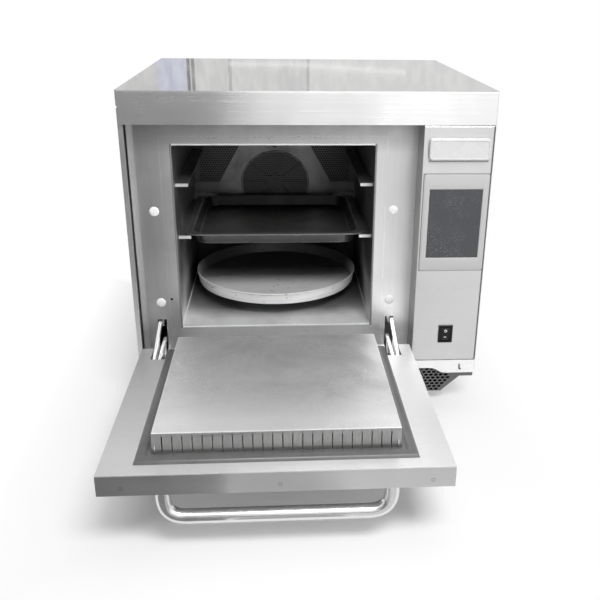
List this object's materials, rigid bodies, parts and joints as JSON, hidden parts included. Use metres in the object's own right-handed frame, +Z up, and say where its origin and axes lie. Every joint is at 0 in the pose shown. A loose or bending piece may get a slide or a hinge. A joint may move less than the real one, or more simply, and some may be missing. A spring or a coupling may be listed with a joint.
{
  "type": "countertop speed oven",
  "caption": "Countertop speed oven with a drop-down door, a cavity with a rack tray and a round pan, a control panel with a screen, and its heating and cooling works.",
  "frame": {"origin": "middle of the footprint of the oven with its door open, on the worktop", "axes": "+X to the right as one faces the door, +Y to the back of the oven, +Z up"},
  "size_m": [0.59, 0.949, 0.556],
  "materials": {
    "brushed_steel": "brushed stainless sheet, lengthwise grain",
    "polished_steel": "polished stainless",
    "cavity_steel": "heat-stained stainless sheet",
    "choke_steel": "scratched, slightly stained stainless sheet",
    "galvanised_steel": "galvanised sheet",
    "dark_tray_steel": "dark seasoned baking tray",
    "element_sheath": "dark oxidised heater sheath",
    "aluminium": "spun, lightly scratched",
    "transformer_iron": "laminated iron with a copper winding",
    "door_seal": "matt dark grey seal",
    "foot_rubber": "matt black rubber",
    "grey_plastic": "pale grey satin plastic",
    "black_plastic": "black moulded plastic",
    "screen": "dark grey touch glass, switched off",
    "circuit_board": "green circuit board",
    "mica": "pale mica sheet",
    "mineral_wool": "loose mineral wool"
  },
  "bodies": {
    "cabinet": {"top_cover": "brushed_steel", "left_side_panel": "brushed_steel", "right_side_panel": "brushed_steel", "rear_panel": "brushed_steel", "chassis_floor": "galvanised_steel", "base_tray": "galvanised_steel", "bottom_trim": "brushed_steel", "foot_front_left": "foot_rubber", "foot_front_right": "foot_rubber", "foot_rear_left": "foot_rubber", "foot_rear_right": "foot_rubber", "front_plate": "brushed_steel", "door_switch": "black_plastic", "control_panel": "brushed_steel", "badge_plate": "grey_plastic", "display_bezel": "grey_plastic", "touch_screen": "screen", "switch_bezel": "black_plastic", "control_board": "circuit_board", "cavity_liner": "cavity_steel", "back_baffle": "cavity_steel", "rail_upper_left": "polished_steel", "rail_lower_left": "polished_steel", "rail_upper_right": "polished_steel", "rail_lower_right": "polished_steel", "pan_stand": "polished_steel", "cavity_insulation": "mineral_wool", "convection_motor": "galvanised_steel", "heating_element": "element_sheath", "temperature_probe": "polished_steel", "waveguide": "aluminium", "stirrer_motor": "galvanised_steel", "stirrer_cover": "mica", "magnetron": "galvanised_steel", "transformer": "transformer_iron", "capacitor": "aluminium", "cooling_fan_frame": "black_plastic", "catalytic_converter": "polished_steel", "exhaust_duct": "polished_steel", "cable_gland": "black_plastic", "hinge_bracket_left": "polished_steel", "hinge_bracket_right": "polished_steel"},
    "door": {"door_outer_skin": "brushed_steel", "door_inner_frame": "brushed_steel", "door_gasket": "door_seal", "choke_plug": "choke_steel", "door_insulation": "mineral_wool", "door_handle": "polished_steel", "hinge_arm_left": "polished_steel", "hinge_arm_right": "polished_steel"},
    "spring_left": {"door_spring_left": "polished_steel"},
    "spring_right": {"door_spring_right": "polished_steel"},
    "rocker": {"rocker_switch": "black_plastic"},
    "tray": {"baking_tray": "dark_tray_steel"},
    "pan": {"pizza_pan": "aluminium"},
    "grille": {"intake_grille": "brushed_steel"},
    "fan": {"convection_fan": "polished_steel"},
    "stirrer": {"mode_stirrer": "aluminium"},
    "cooler": {"cooling_fan_rotor": "black_plastic"}
  },
  "joints": [
    {"name": "door_hinge", "type": "hinge", "parent": "cabinet", "child": "door", "pos_m": [0, -0.07274, 0.1006], "axis": [1, 0, 0], "range_deg": [-88.8, 0]},
    {"name": "spring_left_pivot", "type": "hinge", "parent": "cabinet", "child": "spring_left", "pos_m": [-0.2559, 0.17584, 0.12721], "axis": [1, 0, 0], "range_deg": [0, 29]},
    {"name": "spring_right_pivot", "type": "hinge", "parent": "cabinet", "child": "spring_right", "pos_m": [0.1429, 0.17584, 0.12721], "axis": [1, 0, 0], "range_deg": [0, 29]},
    {"name": "rocker_tilt", "type": "hinge", "parent": "cabinet", "child": "rocker", "pos_m": [0.2356, -0.08554, 0.1473], "axis": [1, 0, 0], "range_deg": [-14, 0]},
    {"name": "tray_slide", "type": "slide", "parent": "cabinet", "child": "tray", "axis": [0, -1, 0], "range_m": [0, 0.28]},
    {"name": "pan_slide", "type": "slide", "parent": "cabinet", "child": "pan", "axis": [0, -1, 0], "range_m": [0, 0.3]},
    {"name": "grille_drop", "type": "slide", "parent": "cabinet", "child": "grille", "axis": [0, 0, -1], "range_m": [0, 0.0125]},
    {"name": "convection_fan_spin", "type": "hinge", "parent": "cabinet", "child": "fan", "pos_m": [-0.0565, 0.31546, 0.3192], "axis": [0, 1, 0], "continuous": true},
    {"name": "mode_stirrer_spin", "type": "hinge", "parent": "cabinet", "child": "stirrer", "pos_m": [-0.0565, 0.13546, 0.50163], "axis": [0, 0, 1], "continuous": true},
    {"name": "cooling_fan_spin", "type": "hinge", "parent": "cabinet", "child": "cooler", "pos_m": [0.2205, 0.37796, 0.0761], "axis": [0, 0, 1], "continuous": true}
  ],
  "couplings": [
    {"joint": "spring_left_pivot", "follows": "door_hinge", "ratio": -0.3238},
    {"joint": "spring_right_pivot", "follows": "door_hinge", "ratio": -0.3238}
  ]
}
